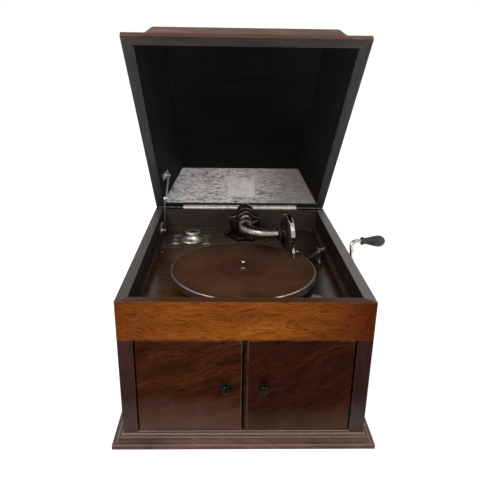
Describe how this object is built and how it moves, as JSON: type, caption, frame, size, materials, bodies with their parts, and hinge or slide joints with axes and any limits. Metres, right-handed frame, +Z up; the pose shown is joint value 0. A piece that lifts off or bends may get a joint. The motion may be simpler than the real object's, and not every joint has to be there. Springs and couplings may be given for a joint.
{
  "type": "tabletop gramophone",
  "caption": "Box gramophone with an opening lid, a turntable, a swinging tone arm, a side crank and two doors over a built-in horn.",
  "frame": {"origin": "centre of the case's footprint on the surface it stands on", "axes": "+X to the right seen from the doors, +Y to the back where the lid is hinged, +Z up"},
  "size_m": [0.4785, 0.5187, 0.625],
  "materials": {
    "oak_light": "satin",
    "oak_dark": "satin",
    "oak_door": "satin",
    "board": "gloss",
    "pine": "matte",
    "nickel": "polished",
    "steel": "satin",
    "brass": "satin",
    "black_iron": "gloss",
    "felt": "matte",
    "mica": "satin",
    "black_wood": "gloss"
  },
  "bodies": {
    "case": {"left_side_panel": "oak_dark", "right_side_panel": "oak_dark", "back_panel": "oak_dark", "front_rail": "oak_light", "stiles": "oak_dark", "base_board": "oak_dark", "plinth": "oak_dark", "motor_board": "board", "tonearm_board": "board", "board_cleats": "pine", "well_beading": "board", "horn_roof": "pine", "horn_sides": "pine", "horn_throat": "black_iron", "tonearm_base": "black_iron", "board_fixings": "nickel", "needle_cups": "nickel", "needle_trays": "nickel", "brake_base": "nickel", "regulator_dial": "nickel", "motor_top_plate": "steel", "motor_bottom_plate": "steel", "motor_pillars": "steel", "crank_escutcheon": "nickel", "case_hinge_leaf": "nickel", "stay_bracket": "nickel", "door_pins": "steel"},
    "lid": {"lid_front_board": "oak_dark", "lid_left_board": "oak_dark", "lid_right_board": "oak_dark", "lid_back_board": "oak_dark", "lid_top_panel": "oak_dark", "lid_hinge_leaf": "nickel", "lid_stay_bracket": "nickel"},
    "stay_lower": {"stay_lower_link": "nickel"},
    "stay_upper": {"stay_upper_link": "nickel"},
    "left_leaf": {"left_door": "oak_door", "left_knob": "brass"},
    "right_leaf": {"right_door": "oak_door", "right_knob": "brass"},
    "turntable": {"platter": "nickel", "felt_mat": "felt", "spindle": "steel"},
    "barrel": {"spring_barrel": "brass", "mainspring": "steel"},
    "idler": {"intermediate_gear": "brass"},
    "governor_spin": {"governor": "brass"},
    "crank": {"winding_shaft": "steel", "crank_arm": "nickel"},
    "crank_grip": {"crank_handle": "black_wood"},
    "winding": {"winding_wheel": "steel"},
    "arm": {"tonearm": "nickel"},
    "arm_crook": {"crook": "nickel", "soundbox": "nickel", "diaphragm": "mica", "needle_bar": "nickel", "needle": "steel"},
    "brake": {"brake_lever": "nickel"},
    "regulator": {"regulator_knob": "nickel"},
    "friction_lever": {"governor_brake": "steel"}
  },
  "joints": [
    {"name": "lid_hinge", "type": "hinge", "parent": "case", "child": "lid", "pos_m": [0, 0.2375, 0.2503], "axis": [-1, 0, 0], "range_deg": [-49, 0]},
    {"name": "stay_lower_pivot", "type": "hinge", "parent": "case", "child": "stay_lower", "pos_m": [-0.167, 0.1735, 0.217], "axis": [-1, 0, 0], "range_deg": [-52.5, 0]},
    {"name": "stay_upper_pivot", "type": "hinge", "parent": "lid", "child": "stay_upper", "pos_m": [-0.155, 0.18548, 0.33758], "axis": [-1, 0, 0], "range_deg": [0, 51.8]},
    {"name": "left_door_hinge", "type": "hinge", "parent": "case", "child": "left_leaf", "pos_m": [-0.1625, -0.2325, 0.1], "axis": [0, 0, -1], "range_deg": [0, 95]},
    {"name": "right_door_hinge", "type": "hinge", "parent": "case", "child": "right_leaf", "pos_m": [0.1625, -0.2325, 0.1], "axis": [0, 0, 1], "range_deg": [0, 95]},
    {"name": "turntable_spin", "type": "hinge", "parent": "case", "child": "turntable", "pos_m": [0, -0.069, 0.2325], "axis": [0, 0, -1], "continuous": true},
    {"name": "barrel_turn", "type": "hinge", "parent": "case", "child": "barrel", "pos_m": [0.055, -0.0325, 0.13], "axis": [0, 0, -1], "continuous": true},
    {"name": "idler_turn", "type": "hinge", "parent": "case", "child": "idler", "pos_m": [0.00235, -0.03293, 0.13], "axis": [0, 0, -1], "continuous": true},
    {"name": "governor_turn", "type": "hinge", "parent": "case", "child": "governor_spin", "pos_m": [-0.03397, -0.08136, 0.13], "axis": [0, 0, -1], "continuous": true},
    {"name": "crank_turn", "type": "hinge", "parent": "case", "child": "crank", "pos_m": [0.2, -0.0325, 0.159], "axis": [1, 0, 0], "continuous": true},
    {"name": "grip_turn", "type": "hinge", "parent": "crank", "child": "crank_grip", "pos_m": [0.225, 0.01166, 0.25371], "axis": [1, 0, 0], "continuous": true},
    {"name": "winding_turn", "type": "hinge", "parent": "case", "child": "winding", "pos_m": [0.055, -0.0325, 0.15], "axis": [0, 0, 1], "continuous": true},
    {"name": "arm_swing", "type": "hinge", "parent": "case", "child": "arm", "pos_m": [0.01, 0.1765, 0.221], "axis": [0, 0, 1], "range_deg": [-21, 20]},
    {"name": "crook_turn", "type": "hinge", "parent": "arm", "child": "arm_crook", "pos_m": [0.00617, 0.03005, 0.2755], "axis": [-0.0262, -0.9997, 0], "range_deg": [0, 150]},
    {"name": "brake_turn", "type": "hinge", "parent": "case", "child": "brake", "pos_m": [0.152, 0.0325, 0.2245], "axis": [0, 0, 1], "range_deg": [0, 15]},
    {"name": "regulator_turn", "type": "hinge", "parent": "case", "child": "regulator", "pos_m": [0.113, -0.1395, 0.205], "axis": [0, 0, -1], "range_deg": [0, 20]},
    {"name": "friction_lever_turn", "type": "hinge", "parent": "case", "child": "friction_lever", "pos_m": [-0.01197, -0.11136, 0.15], "axis": [0, 0, 1], "range_deg": [0, 12]}
  ],
  "couplings": [
    {"joint": "stay_lower_pivot", "follows": "lid_hinge", "ratio": 1.0709},
    {"joint": "stay_upper_pivot", "follows": "lid_hinge", "ratio": -1.0557},
    {"joint": "barrel_turn", "follows": "turntable_spin", "ratio": 0.033333},
    {"joint": "idler_turn", "follows": "turntable_spin", "ratio": -0.2},
    {"joint": "governor_turn", "follows": "turntable_spin", "ratio": -5},
    {"joint": "winding_turn", "follows": "crank_turn", "ratio": 0.33333},
    {"joint": "friction_lever_turn", "follows": "regulator_turn", "ratio": 0.557}
  ]
}
